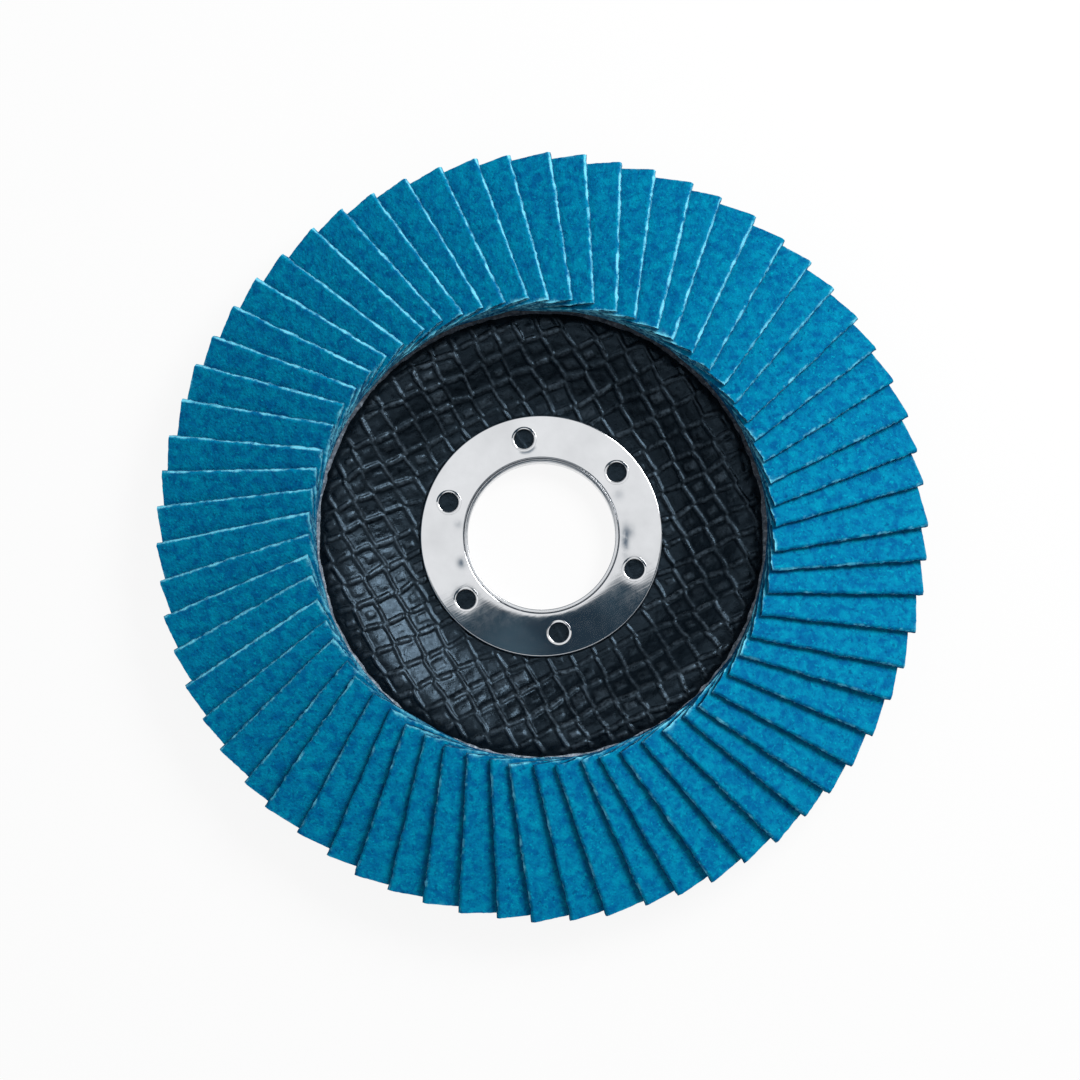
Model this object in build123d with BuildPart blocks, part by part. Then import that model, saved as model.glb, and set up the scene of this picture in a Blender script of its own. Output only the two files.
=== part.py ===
"""Flap disc for an angle grinder: overlapping abrasive cloth flaps set in resin on a conical plate.

Frame: millimetres, origin at the centre of the arbor bore on the rear seating face,
+Z out of the working face. The disc lies on its rear hub face with the flaps on top.
"""

import os
from math import asin, atan, atan2, ceil, cos, hypot, radians, sin, tan

from build123d import *

# ---------------------------------------------------------------- driving dimensions

# Arbor bore and the two pressed steel rings that line it
bore_diameter = 22.23
ring_diameter = 36.4
ring_sheet = 0.5
ring_edge_break = 0.15
lip_break = 0.35
fit_gap = 0.03
neck_depth = 1.2
collar_setback = 0.15

# Pierced holes of the front ring, through which the plate shows
pierced_count = 6
pierced_diameter = 3.0
pierced_circle_diameter = 29.6
pierced_start_angle = 40.2

# Moulded glass-fibre plate: flat hub, rising dish, conical flange that falls away outward
plate_diameter = 106.0
hub_thickness = 3.0
hub_flat_diameter = 41.4
crown_diameter = 60.0
dish_depth = 4.4
flange_slope = 9.0
wall_thickness = 2.1

# Glass mesh printed through the plate's skin: square pockets between crossing yarns
mesh_angle = 25.0
warp_pitch = 3.3
warp_yarn = 0.9
weft_pitch = 3.6
weft_yarn = 1.3
mesh_relief = 0.35
mesh_margin = 0.3
mesh_outer_diameter = 62.6

# Abrasive cloth flaps
disc_diameter = 114.4
flap_count = 66
flap_length = 23.5
flap_width = 18.0
flap_thickness = 0.8
flap_gap = 0.06
raised_edge_offset = 9.4
flaps_per_node = 2

# Resin bed that holds the flaps' lower edges
bed_inner_diameter = 65.4
bed_outer_diameter = 103.0
bed_height = 2.2
bed_floor = 0.3
bed_run_out = 3.0

# ---------------------------------------------------------------- worked-out dimensions

bore_radius = bore_diameter / 2
ring_radius = ring_diameter / 2
collar_radius = bore_radius + ring_sheet
neck_inner_radius = collar_radius + fit_gap
neck_outer_radius = neck_inner_radius + ring_sheet
ring_top = hub_thickness + ring_sheet
collar_top = ring_top - collar_setback

pierced_radius = pierced_diameter / 2
pierced_circle_radius = pierced_circle_diameter / 2

plate_radius = plate_diameter / 2
hub_flat_radius = hub_flat_diameter / 2
crown_radius = crown_diameter / 2
crown_top = hub_thickness + dish_depth
dish_angle = atan2(dish_depth, crown_radius - hub_flat_radius)
flange_angle = radians(flange_slope)

mesh_inner_radius = ring_radius + mesh_margin
mesh_outer_radius = mesh_outer_diameter / 2
pocket_length = warp_pitch - warp_yarn
pocket_width = weft_pitch - weft_yarn
pocket_reach = hypot(pocket_length, pocket_width) / 2

bed_inner_radius = bed_inner_diameter / 2
bed_outer_radius = bed_outer_diameter / 2

flap_pitch = 360 / flap_count
flap_outer_end = (disc_diameter / 2) * cos(asin(raised_edge_offset / (disc_diameter / 2)))
flap_inner_end = flap_outer_end - flap_length * cos(flange_angle)
node_count = ceil(flap_count / flaps_per_node)


def flange_height(radius):
    """Height of the flange's upper face at a radius."""
    return crown_top - (radius - crown_radius) * tan(flange_angle)


def lean_that_clears():
    """Lean at which each flap just clears the next one at its tightest place, the inner foot."""
    stack = (flap_thickness + flap_gap) / sin(radians(flap_pitch))
    foot_term = flap_width * sin(flange_angle)
    edge_term = raised_edge_offset * sin(flange_angle)
    reach = hypot(flap_inner_end, edge_term)
    return asin((stack + foot_term) / reach) - atan(edge_term / flap_inner_end)


flap_lean = lean_that_clears()
foot_offset = flap_width * cos(flap_lean) - raised_edge_offset
foot_inner_end = flap_inner_end - flap_width * sin(flap_lean) * sin(flange_angle)
foot_height = flange_height(hypot(foot_inner_end, foot_offset)) + bed_floor / cos(flange_angle)


def save(solid, name):
    """Labels one finished sub-part and writes its STEP file."""
    solid.label = name
    export_step(solid, f"parts/{name}.step")


# ---------------------------------------------------------------- rings


def build_front_ring():
    """Flat ring with six pierced holes and a short neck that lines the plate's bore."""
    with BuildPart() as ring:
        with BuildSketch(Plane.XZ):
            with BuildLine():
                Polyline(
                    (neck_inner_radius, hub_thickness - neck_depth),
                    (neck_outer_radius, hub_thickness - neck_depth),
                    (neck_outer_radius, hub_thickness),
                    (ring_radius, hub_thickness),
                    (ring_radius, ring_top - ring_edge_break),
                    (ring_radius - ring_edge_break, ring_top),
                    (neck_inner_radius + lip_break, ring_top),
                    (neck_inner_radius, ring_top - lip_break),
                    close=True,
                )
            make_face()
        revolve(axis=Axis.Z)
        with BuildSketch(Plane.XY.offset(ring_top)):
            with PolarLocations(pierced_circle_radius, pierced_count, pierced_start_angle):
                Circle(pierced_radius)
        extrude(amount=-ring_sheet, mode=Mode.SUBTRACT)
    return ring.part


def build_rear_ring():
    """Flat ring let into the rear face, with the collar that is the arbor bore."""
    with BuildPart() as ring:
        with BuildSketch(Plane.XZ):
            with BuildLine():
                Polyline(
                    (bore_radius + lip_break, 0),
                    (ring_radius, 0),
                    (ring_radius, ring_sheet),
                    (collar_radius, ring_sheet),
                    (collar_radius, collar_top),
                    (bore_radius, collar_top),
                    (bore_radius, lip_break),
                    close=True,
                )
            make_face()
        revolve(axis=Axis.Z)
    return ring.part


# ---------------------------------------------------------------- plate


def skin_plane(x, y):
    """Plane just above the plate's front skin at a place, with x along the weft yarns."""
    radius = hypot(x, y)
    if radius <= hub_flat_radius:
        height, fall = hub_thickness, 0
    elif radius <= crown_radius:
        height, fall = hub_thickness + (radius - hub_flat_radius) * tan(dish_angle), dish_angle
    else:
        height, fall = flange_height(radius), -flange_angle
    normal = Vector(-x / radius * sin(fall), -y / radius * sin(fall), cos(fall))
    weft = Vector(cos(radians(mesh_angle)), sin(radians(mesh_angle)), 0)
    skin = Plane(origin=(x, y, height), x_dir=weft - normal * weft.dot(normal), z_dir=normal)
    return skin.offset(mesh_relief)


def pocket_planes():
    """Planes of the mesh pockets that lie wholly between the ring and the flaps."""
    turned = Location((0, 0, 0), (0, 0, mesh_angle))
    rows = ceil(mesh_outer_radius / min(warp_pitch, weft_pitch))
    planes = []
    for column in range(-rows, rows + 1):
        for row in range(-rows, rows + 1):
            place = turned * Location(((column + 0.5) * warp_pitch, (row + 0.5) * weft_pitch, 0))
            x, y = place.position.X, place.position.Y
            if mesh_inner_radius + pocket_reach < hypot(x, y) < mesh_outer_radius - pocket_reach:
                planes.append(skin_plane(x, y))
    return planes


def build_backing_plate():
    """Hub, dish and conical flange, recessed for the rings, with the mesh's pockets in its skin."""
    knee = hub_flat_radius + wall_thickness / sin(dish_angle) - hub_thickness / tan(dish_angle)
    shoulder = crown_radius + wall_thickness * (sin(dish_angle) - sin(flange_angle)) / (
        1 + cos(dish_angle + flange_angle)
    )
    flange_drop = wall_thickness / cos(flange_angle)
    with BuildPart() as plate:
        with BuildSketch(Plane.XZ):
            with BuildLine():
                Polyline(
                    (collar_radius + fit_gap, 0),
                    (knee, 0),
                    (shoulder, flange_height(shoulder) - flange_drop),
                    (plate_radius, flange_height(plate_radius) - flange_drop),
                    (plate_radius, flange_height(plate_radius)),
                    (crown_radius, crown_top),
                    (hub_flat_radius, hub_thickness),
                    (collar_radius + fit_gap, hub_thickness),
                    close=True,
                )
            make_face()
        revolve(axis=Axis.Z)
        with BuildSketch(Plane.XY):
            Circle(ring_radius + fit_gap)
        extrude(amount=ring_sheet, mode=Mode.SUBTRACT)
        with BuildSketch(Plane.XY.offset(hub_thickness)):
            Circle(neck_outer_radius + fit_gap)
        extrude(amount=-neck_depth - fit_gap, mode=Mode.SUBTRACT)
        with BuildSketch(*pocket_planes()):
            Rectangle(pocket_length, pocket_width)
        extrude(amount=-2 * mesh_relief, mode=Mode.SUBTRACT)
    return plate.part


# ---------------------------------------------------------------- flaps and their bed


def flap_plane(index):
    """Plane of one flap's underside: x outward along the flap, -y up the lean to its raised edge."""
    along = Vector(cos(flange_angle), 0, -sin(flange_angle))
    normal = Vector(
        sin(flange_angle) * cos(flap_lean), sin(flap_lean), cos(flange_angle) * cos(flap_lean)
    )
    foot = Plane(origin=(foot_inner_end, foot_offset, foot_height), x_dir=along, z_dir=normal)
    return Plane(Location((0, 0, 0), (0, 0, -index * flap_pitch)) * foot.location)


def build_flaps(indices):
    """Neighbouring flaps, each a leaning rectangle of coated cloth, as separate solids."""
    with BuildPart() as flaps:
        with BuildSketch(*[flap_plane(index) for index in indices]):
            Rectangle(flap_length, flap_width, align=(Align.MIN, Align.MAX))
        extrude(amount=flap_thickness)
    return flaps.part


def build_adhesive_bed():
    """Resin on the flange: a thin floor with a wedge under each flap."""
    with BuildPart() as bed:
        with BuildSketch(Plane.XZ):
            Polygon(
                (bed_inner_radius, flange_height(bed_inner_radius)),
                (bed_outer_radius, flange_height(bed_outer_radius)),
                (bed_outer_radius, flange_height(bed_outer_radius) + bed_height),
                (bed_inner_radius, flange_height(bed_inner_radius) + bed_height),
                align=None,
            )
        revolve(axis=Axis.Z)
        with BuildSketch(*[flap_plane(index) for index in range(flap_count)]):
            with Locations((-bed_run_out, 0)):
                Rectangle(flap_length + bed_run_out, flap_width, align=(Align.MIN, Align.MAX))
        extrude(amount=flap_thickness + bed_height, mode=Mode.SUBTRACT)
    return bed.part


os.makedirs("parts", exist_ok=True)
save(build_front_ring(), "front_ring")
save(build_rear_ring(), "rear_ring")
save(build_backing_plate(), "backing_plate")
save(build_adhesive_bed(), "adhesive_bed")
for node in range(node_count):
    first = node * flaps_per_node
    members = range(first, min(first + flaps_per_node, flap_count))
    save(build_flaps(members), f"flap_pair_{node + 1:02d}")
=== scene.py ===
"""Flap disc: detailed pieces, looks, light and camera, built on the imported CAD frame.

Lengths are millimetres in the constants and the builders, and make_object turns them into metres.
The disc lies on its rear hub face, working side up, and the camera looks down on it.
"""

import math

import bmesh
import bpy
import numpy as np
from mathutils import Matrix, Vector


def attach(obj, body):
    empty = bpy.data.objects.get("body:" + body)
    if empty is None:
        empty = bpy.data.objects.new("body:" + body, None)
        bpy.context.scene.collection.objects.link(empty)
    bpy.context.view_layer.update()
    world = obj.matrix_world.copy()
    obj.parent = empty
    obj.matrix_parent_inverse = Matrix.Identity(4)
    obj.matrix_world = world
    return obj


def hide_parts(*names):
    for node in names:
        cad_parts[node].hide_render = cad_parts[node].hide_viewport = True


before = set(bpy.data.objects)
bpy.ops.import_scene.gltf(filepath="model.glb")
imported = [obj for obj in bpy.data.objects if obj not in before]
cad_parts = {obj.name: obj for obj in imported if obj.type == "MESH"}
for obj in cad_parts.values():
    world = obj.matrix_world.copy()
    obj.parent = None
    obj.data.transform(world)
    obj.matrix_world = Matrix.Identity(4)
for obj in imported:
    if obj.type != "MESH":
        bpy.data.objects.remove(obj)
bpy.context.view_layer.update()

MM = 0.001

# ---------------------------------------------------------------- sizes, as in the CAD

BORE_RADIUS = 11.115
RING_RADIUS = 18.2
RING_SHEET = 0.5
FIT_GAP = 0.03
COLLAR_SETBACK = 0.15
NECK_DEPTH = 1.2
HOLE_COUNT = 6
HOLE_RADIUS = 1.5
HOLE_CIRCLE = 14.8
HOLE_START = math.radians(40.2)

PLATE_RADIUS = 53.0
HUB_TOP = 3.0
HUB_FLAT = 20.7
CROWN_RADIUS = 30.0
DISH_DEPTH = 4.4
SLOPE = math.radians(9.0)
WALL = 2.1
MESH_ANGLE = math.radians(25.0)
WARP_PITCH = 3.3
WEFT_PITCH = 3.6

DISC_RADIUS = 57.2
FLAP_COUNT = 66
FLAP_LENGTH = 23.5
FLAP_WIDTH = 18.0
FLAP_THICK = 0.8
FLAP_GAP = 0.06
EDGE_OFFSET = 9.4

BED_OUTER = 51.5
BED_HEIGHT = 2.2
BED_FLOOR = 0.3

RING_TOP = HUB_TOP + RING_SHEET
COLLAR_RADIUS = BORE_RADIUS + RING_SHEET
COLLAR_TOP = RING_TOP - COLLAR_SETBACK
NECK_RADIUS = COLLAR_RADIUS + FIT_GAP
CROWN_TOP = HUB_TOP + DISH_DEPTH
DISH_ANGLE = math.atan2(DISH_DEPTH, CROWN_RADIUS - HUB_FLAT)
FLAP_PITCH = 2 * math.pi / FLAP_COUNT
FLAP_OUTER_END = math.sqrt(DISC_RADIUS**2 - EDGE_OFFSET**2)
FLAP_INNER_END = FLAP_OUTER_END - FLAP_LENGTH * math.cos(SLOPE)


def flange_height(radius):
    """Height of the flange's upper face at a radius."""
    return CROWN_TOP - (radius - CROWN_RADIUS) * math.tan(SLOPE)


def lean_that_clears():
    """Lean at which each flap just clears the next one at its tightest place, the inner foot."""
    stack = (FLAP_THICK + FLAP_GAP) / math.sin(FLAP_PITCH) + FLAP_WIDTH * math.sin(SLOPE)
    edge = EDGE_OFFSET * math.sin(SLOPE)
    return math.asin(stack / math.hypot(FLAP_INNER_END, edge)) - math.atan(edge / FLAP_INNER_END)


LEAN = lean_that_clears()
FOOT_OFFSET = FLAP_WIDTH * math.cos(LEAN) - EDGE_OFFSET
FOOT_INNER_END = FLAP_INNER_END - FLAP_WIDTH * math.sin(LEAN) * math.sin(SLOPE)
FOOT_HEIGHT = flange_height(math.hypot(FOOT_INNER_END, FOOT_OFFSET)) + BED_FLOOR / math.cos(SLOPE)

# ---------------------------------------------------------------- shapes: small tools

LATTICE = 64


def value_noise(x, y, cell, seed):
    """Smooth seeded noise from -1 to 1 on a square lattice."""
    table = np.random.default_rng(seed).random((LATTICE, LATTICE)) * 2 - 1
    gx, gy = np.asarray(x) / cell, np.asarray(y) / cell
    ix, iy = np.floor(gx).astype(int), np.floor(gy).astype(int)
    fx, fy = gx - ix, gy - iy
    fx, fy = fx * fx * (3 - 2 * fx), fy * fy * (3 - 2 * fy)
    ix, iy = ix % LATTICE, iy % LATTICE
    next_x, next_y = (ix + 1) % LATTICE, (iy + 1) % LATTICE
    low = table[ix, iy] * (1 - fx) + table[next_x, iy] * fx
    high = table[ix, next_y] * (1 - fx) + table[next_x, next_y] * fx
    return low * (1 - fy) + high * fy


def smooth_step(low, high, x):
    """0 below low, 1 above high, eased between."""
    t = np.clip((x - low) / (high - low), 0, 1)
    return t * t * (3 - 2 * t)


def circle_grid(radii, segments):
    """Radius and angle of each point of a grid with one row for each radius."""
    angle = np.linspace(0, 2 * math.pi, segments, endpoint=False)
    return np.meshgrid(radii, angle, indexing="ij")


def turned(radii, heights, segments):
    """Points of a section turned about Z, one row for each point of the section."""
    r, a = circle_grid(radii, segments)
    z = np.broadcast_to(np.asarray(heights, dtype=float)[:, None], r.shape)
    return np.stack([r * np.cos(a), r * np.sin(a), z], -1)


def grid_faces(rows, cols, close_rows=True):
    """Quads of a grid whose vertex at (row, col) is row * cols + col and whose columns close."""
    i = np.arange(rows if close_rows else rows - 1)[:, None]
    j = np.arange(cols)[None, :]
    i2, j2 = (i + 1) % rows, (j + 1) % cols
    return np.stack([i * cols + j, i * cols + j2, i2 * cols + j2, i2 * cols + j], -1).reshape(-1, 4)


def shade_smooth(mesh, sharp):
    """Smooth shading, with edges past a sharp angle in degrees kept sharp."""
    mesh.polygons.foreach_set("use_smooth", np.ones(len(mesh.polygons), dtype=bool))
    mesh.set_sharp_from_angle(angle=math.radians(sharp))


def make_object(name, points, faces, materials, sharp, face_material=None):
    """Object from points in millimetres, with its normals outward."""
    mesh = bpy.data.meshes.new(name)
    mesh.from_pydata((np.asarray(points) * MM).tolist(), [], [list(map(int, f)) for f in faces])
    for material in materials:
        mesh.materials.append(material)
    if face_material is not None:
        mesh.polygons.foreach_set("material_index", np.asarray(face_material, dtype=np.int32))
    mesh.validate()
    fix = bmesh.new()
    fix.from_mesh(mesh)
    bmesh.ops.recalc_face_normals(fix, faces=fix.faces)
    fix.to_mesh(mesh)
    fix.free()
    shade_smooth(mesh, sharp)
    piece = bpy.data.objects.new(name, mesh)
    bpy.context.scene.collection.objects.link(piece)
    return piece


def make_ring(name, points, material, sharp):
    """Object from a grid of points that closes along its rows and its columns."""
    faces = grid_faces(*points.shape[:2])
    return make_object(name, points.reshape(-1, 3), faces, [material], sharp)


def point_attribute(piece, name, values):
    """Float attribute on the points."""
    layer = piece.data.attributes.new(name, "FLOAT", "POINT")
    layer.data.foreach_set("value", np.asarray(values, dtype=np.float32).reshape(-1))


# ---------------------------------------------------------------- materials: small tools

# A Mix node's colour sockets share their names with its other sockets, so they go by number.
MIX_FIRST = 6
MIX_SECOND = 7
MIX_RESULT = 2


def new_material(name):
    """Material with a Principled shader on its surface."""
    material = bpy.data.materials.new(name)
    material.use_nodes = True
    tree = material.node_tree
    tree.nodes.clear()
    output = tree.nodes.new("ShaderNodeOutputMaterial")
    shader = tree.nodes.new("ShaderNodeBsdfPrincipled")
    tree.links.new(shader.outputs["BSDF"], output.inputs["Surface"])
    return material, tree, shader


def linear(red, green, blue):
    """Linear colour of an sRGB triple from 0 to 255."""
    values = [c / 255 for c in (red, green, blue)]
    return [c / 12.92 if c <= 0.04045 else ((c + 0.055) / 1.055) ** 2.4 for c in values] + [1.0]


def object_coords(tree):
    """Place on the object, in metres."""
    return tree.nodes.new("ShaderNodeTexCoord").outputs["Object"]


def split_axes(tree, vector):
    """The X, Y and Z sockets of a vector."""
    node = tree.nodes.new("ShaderNodeSeparateXYZ")
    tree.links.new(vector, node.inputs["Vector"])
    return node.outputs["X"], node.outputs["Y"], node.outputs["Z"]


def stretched(tree, vector, scale, turn):
    """Coordinates turned about Z and scaled by axis."""
    node = tree.nodes.new("ShaderNodeMapping")
    node.vector_type = "TEXTURE"
    node.inputs["Rotation"].default_value = (0, 0, turn)
    node.inputs["Scale"].default_value = scale
    tree.links.new(vector, node.inputs["Vector"])
    return node.outputs["Vector"]


def noise(tree, vector, size, detail=3.0, rough=0.55, swirl=0.0):
    """Noise whose blobs are about size millimetres across."""
    node = tree.nodes.new("ShaderNodeTexNoise")
    node.inputs["Distortion"].default_value = swirl
    node.inputs["Scale"].default_value = 1 / (size * MM)
    node.inputs["Detail"].default_value = detail
    node.inputs["Roughness"].default_value = rough
    tree.links.new(vector, node.inputs["Vector"])
    return node.outputs["Fac"]


def grains(tree, vector, size):
    """Distance to the middle of cells about size millimetres across."""
    node = tree.nodes.new("ShaderNodeTexVoronoi")
    node.inputs["Scale"].default_value = 1 / (size * MM)
    tree.links.new(vector, node.inputs["Vector"])
    return node.outputs["Distance"]


def attribute(tree, name):
    """Value of a point attribute."""
    node = tree.nodes.new("ShaderNodeAttribute")
    node.attribute_name = name
    return node.outputs["Fac"]


def remap(tree, value, low, high, to_low=0.0, to_high=1.0):
    """Value stretched so that low gives to_low and high gives to_high, and held there beyond."""
    node = tree.nodes.new("ShaderNodeMapRange")
    node.inputs["From Min"].default_value = low
    node.inputs["From Max"].default_value = high
    node.inputs["To Min"].default_value = to_low
    node.inputs["To Max"].default_value = to_high
    tree.links.new(value, node.inputs["Value"])
    return node.outputs["Result"]


def combine(tree, operation, first, second):
    """Math node on sockets or plain numbers."""
    node = tree.nodes.new("ShaderNodeMath")
    node.operation = operation
    for socket, value in zip(node.inputs, (first, second)):
        if isinstance(value, (int, float)):
            socket.default_value = value
        else:
            tree.links.new(value, socket)
    return node.outputs["Value"]


def times(tree, first, second):
    """Product of two sockets or numbers."""
    return combine(tree, "MULTIPLY", first, second)


def plus(tree, first, second):
    """Sum of two sockets or numbers."""
    return combine(tree, "ADD", first, second)


def blend_colour(tree, factor, first, second):
    """Mix of two colours, given as sockets or linear values."""
    node = tree.nodes.new("ShaderNodeMix")
    node.data_type = "RGBA"
    tree.links.new(factor, node.inputs["Factor"])
    for number, value in ((MIX_FIRST, first), (MIX_SECOND, second)):
        if isinstance(value, (list, tuple)):
            node.inputs[number].default_value = value
        else:
            tree.links.new(value, node.inputs[number])
    return node.outputs[MIX_RESULT]


def laid_over(tree, colour, paint, share):
    """Colour with a share of an sRGB paint laid over it."""
    return blend_colour(tree, share, colour, linear(*paint))


def add_bump(tree, shader, height, depth, strength):
    """Bump of a height field from 0 to 1 that stands for depth millimetres."""
    node = tree.nodes.new("ShaderNodeBump")
    node.inputs["Strength"].default_value = strength
    node.inputs["Distance"].default_value = depth * MM
    tree.links.new(height, node.inputs["Height"])
    tree.links.new(node.outputs["Normal"], shader.inputs["Normal"])


# ---------------------------------------------------------------- materials


def pale_edge_share(tree, pattern):
    """Where an edge shows pale: all along a strongly marked edge, in rare flecks where it is barely marked.
    The edge attribute holds real wear and painted light.
    """
    edge = attribute(tree, "edge")
    pale_where = remap(tree, plus(tree, pattern, times(tree, edge, 0.2)), 0.57, 0.75)
    return times(tree, pale_where, remap(tree, edge, 0.0, 0.33))


def cloth_material():
    """Blue abrasive grain in its size coat, pale at the cut edges from wear and from painted light on one
    side of the disc.
    """
    material, tree, shader = new_material("abrasive_cloth_blue")
    where = object_coords(tree)
    tone = remap(tree, noise(tree, where, 1.4, 3.0, 0.62, swirl=0.4), 0.36, 0.64)
    patch = remap(tree, noise(tree, where, 2.2, 3.0, 0.6), 0.40, 0.60)
    speck = remap(tree, noise(tree, where, 0.55, 2.0, 0.7), 0.58, 0.72)
    pit = remap(tree, noise(tree, where, 0.75, 2.0, 0.7), 0.43, 0.28)
    # Pale raised edges: real wear, plus painted light that makes them paler on one side of the disc.
    worn_and_lit = pale_edge_share(tree, noise(tree, where, 2.4, 4.0, 0.7))
    colour = blend_colour(tree, tone, linear(0, 95, 149), linear(0, 139, 176))
    colour = laid_over(tree, colour, (0, 108, 162), times(tree, patch, 0.30))
    colour = laid_over(tree, colour, (0, 172, 196), times(tree, speck, 0.6))
    colour = laid_over(tree, colour, (0, 72, 124), times(tree, pit, 0.7))
    colour = laid_over(tree, colour, (112, 210, 236), worn_and_lit)
    tree.links.new(colour, shader.inputs["Base Color"])
    shader.inputs["Roughness"].default_value = 0.72
    shader.inputs["Specular IOR Level"].default_value = 0.03
    domes = remap(tree, grains(tree, where, 0.42), 0.0, 0.7, 1.0, 0.0)
    add_bump(tree, shader, plus(tree, domes, noise(tree, where, 0.3, 2.0)), 0.055, 0.8)
    return material


def cut_edge_material():
    """Cut edge of the cloth: pale yarn ends under a blue coat, showing more on one side of the disc as
    painted light.
    """
    material, tree, shader = new_material("cloth_cut_edge")
    where = object_coords(tree)
    # Pale yarn ends: real fraying, plus painted light that brings them out on one side of the disc.
    fleck = pale_edge_share(tree, noise(tree, where, 0.5, 3.0, 0.7))
    stretch = remap(tree, noise(tree, where, 3.2, 2.0, 0.5), 0.38, 0.60, 0.12, 1.0)
    dirt = remap(tree, noise(tree, where, 2.5, 3.0), 0.45, 0.7)
    colour = blend_colour(tree, times(tree, fleck, stretch), linear(0, 70, 114), linear(110, 196, 222))
    colour = laid_over(tree, colour, (30, 84, 116), times(tree, dirt, 0.25))
    tree.links.new(colour, shader.inputs["Base Color"])
    shader.inputs["Roughness"].default_value = 0.9
    shader.inputs["Specular IOR Level"].default_value = 0.05
    add_bump(tree, shader, noise(tree, where, 0.25, 3.0, 0.7), 0.12, 0.8)
    return material


def backing_material():
    """Woven backing on the underside of the flaps."""
    material, tree, shader = new_material("cloth_backing")
    weave = tree.nodes.new("ShaderNodeTexWave")
    weave.inputs["Scale"].default_value = 900.0
    weave.inputs["Distortion"].default_value = 2.0
    tree.links.new(object_coords(tree), weave.inputs["Vector"])
    colour = blend_colour(tree, weave.outputs["Fac"], linear(62, 92, 116), linear(104, 136, 154))
    tree.links.new(colour, shader.inputs["Base Color"])
    shader.inputs["Roughness"].default_value = 0.92
    shader.inputs["Specular IOR Level"].default_value = 0.2
    add_bump(tree, shader, weave.outputs["Fac"], 0.1, 0.6)
    return material


def plate_material():
    """Black resin over glass mesh, semi-gloss, greyer on the yarns."""
    material, tree, shader = new_material("glass_fibre_plate")
    where = object_coords(tree)
    tone = remap(tree, noise(tree, where, 4.0, 4.0, 0.6), 0.3, 0.7)
    scuffed = remap(tree, noise(tree, where, 0.8, 3.0, 0.7), 0.34, 0.62)
    colour = blend_colour(tree, tone, linear(1, 3, 5), linear(8, 14, 19))
    # The ridge attribute greys the yarns and some pads; on the pads it is partly a painted highlight on
    # their tops.
    colour = laid_over(tree, colour, (80, 93, 104), times(tree, attribute(tree, "ridge"), scuffed))
    tree.links.new(colour, shader.inputs["Base Color"])
    rough = remap(tree, noise(tree, where, 1.0, 3.0), 0.3, 0.7, 0.2, 0.4)
    tree.links.new(rough, shader.inputs["Roughness"])
    shader.inputs["Specular IOR Level"].default_value = 0.42
    shader.inputs["Specular Tint"].default_value = (0.50, 0.75, 1.0, 1.0)
    fine = times(tree, noise(tree, where, 0.18, 2.0), 0.4)
    add_bump(tree, shader, plus(tree, noise(tree, where, 0.6, 3.0, 0.6), fine), 0.06, 0.8)
    return material


def steel_material(name, bright, smooth, rough):
    """Pressed steel with faint rolling lines, stains and dark patches; smooth and rough bound its roughness.
    """
    material, tree, shader = new_material(name)
    where = object_coords(tree)
    stain = remap(tree, noise(tree, where, 6.0, 3.0, 0.6), 0.35, 0.75)
    patch_breakup = remap(tree, noise(tree, where, 1.6, 3.0, 0.6), 0.2, 0.5)
    stained = [c - 12 for c in bright]
    colour = blend_colour(tree, stain, linear(*bright), linear(*stained))
    # Darker steel where the dark patches lie.
    colour = laid_over(tree, colour, (78, 96, 112), times(tree, attribute(tree, "dark_patch"), patch_breakup))
    tree.links.new(colour, shader.inputs["Base Color"])
    shader.inputs["Metallic"].default_value = 1.0
    haze = remap(tree, noise(tree, where, 1.8, 4.0, 0.65), 0.3, 0.75, smooth, rough)
    tree.links.new(haze, shader.inputs["Roughness"])
    lines = noise(tree, stretched(tree, where, (6.0, 0.25, 1.0), 0.5), 1.0, 2.0)
    add_bump(tree, shader, lines, 0.0016, 0.5)
    return material


def resin_material():
    """Hardened grey adhesive with pale frayed threads, darkened towards +Y by painted shade."""
    material, tree, shader = new_material("cured_adhesive")
    where = object_coords(tree)
    x, y, _ = split_axes(tree, where)
    tone = remap(tree, noise(tree, where, 1.6, 4.0, 0.6), 0.3, 0.7)
    # Painted shade: the resin and its pale threads darken towards +Y, where the flaps' inner ends lie in
    # shade.
    shade_towards_y = remap(tree, plus(tree, y, times(tree, x, 0.25)), -4 * MM, 20 * MM)
    frayed = remap(tree, noise(tree, where, 0.6, 4.0, 0.7), 0.50, 0.64)
    frayed = times(tree, frayed, combine(tree, "SUBTRACT", 0.85, times(tree, shade_towards_y, 0.7)))
    colour = blend_colour(tree, tone, linear(66, 84, 100), linear(140, 150, 164))
    colour = laid_over(tree, colour, (20, 30, 44), times(tree, shade_towards_y, 0.85))
    colour = laid_over(tree, colour, (186, 200, 212), frayed)
    tree.links.new(colour, shader.inputs["Base Color"])
    rough = remap(tree, noise(tree, where, 0.9, 3.0), 0.3, 0.7, 0.4, 0.75)
    tree.links.new(rough, shader.inputs["Roughness"])
    add_bump(tree, shader, noise(tree, where, 0.5, 3.0), 0.12, 0.8)
    return material


cloth = cloth_material()
cut_edge = cut_edge_material()
backing = backing_material()
plate_skin = plate_material()
ring_steel = steel_material("ring_steel_bright", (232, 233, 235), 0.03, 0.075)
collar_steel = steel_material("collar_steel_satin", (222, 224, 227), 0.12, 0.22)
resin = resin_material()

# ---------------------------------------------------------------- flaps

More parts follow.
